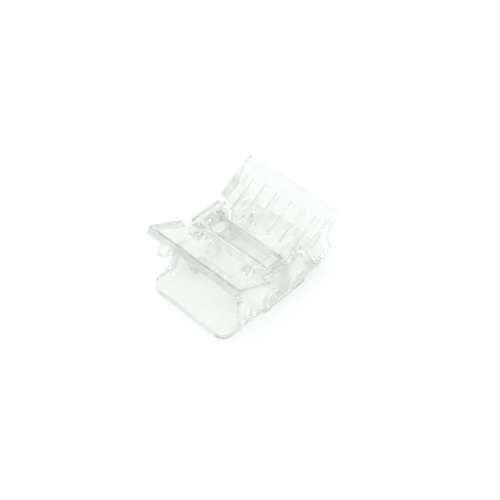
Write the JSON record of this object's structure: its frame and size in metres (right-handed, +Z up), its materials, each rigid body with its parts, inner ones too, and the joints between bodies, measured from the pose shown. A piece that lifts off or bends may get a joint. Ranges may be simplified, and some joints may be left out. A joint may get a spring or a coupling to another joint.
{
  "type": "led strip connector",
  "caption": "Clear solderless snap connector joining a flat LED strip to wires, with a tray for the strip, a bed for the wires and hinged snap covers, shown open.",
  "frame": {"origin": "middle of the ring on the flat underside of the base", "axes": "+X along both hinge pins, +Y from the strip side to the wire side, +Z up out of the base"},
  "size_m": [0.0148, 0.0194, 0.0091],
  "materials": {
    "clear_plastic": "clear polycarbonate with a faint green tint, polished mould faces",
    "tinned_contact": "tin-plated copper alloy strip, folded"
  },
  "bodies": {
    "base": {"base_frame": "clear_plastic", "contact_left": "tinned_contact", "contact_right": "tinned_contact"},
    "strip_cover": {"strip_cover": "clear_plastic"},
    "wire_cover": {"wire_cover": "clear_plastic"}
  },
  "joints": [
    {"name": "strip_cover_hinge", "type": "hinge", "parent": "base", "child": "strip_cover", "pos_m": [0, -0.0022, 0.0015], "axis": [1, 0, 0], "range_deg": [0, 30]},
    {"name": "wire_cover_hinge", "type": "hinge", "parent": "base", "child": "wire_cover", "pos_m": [0, 0.0022, 0.0015], "axis": [-1, 0, 0], "range_deg": [0, 30]}
  ]
}
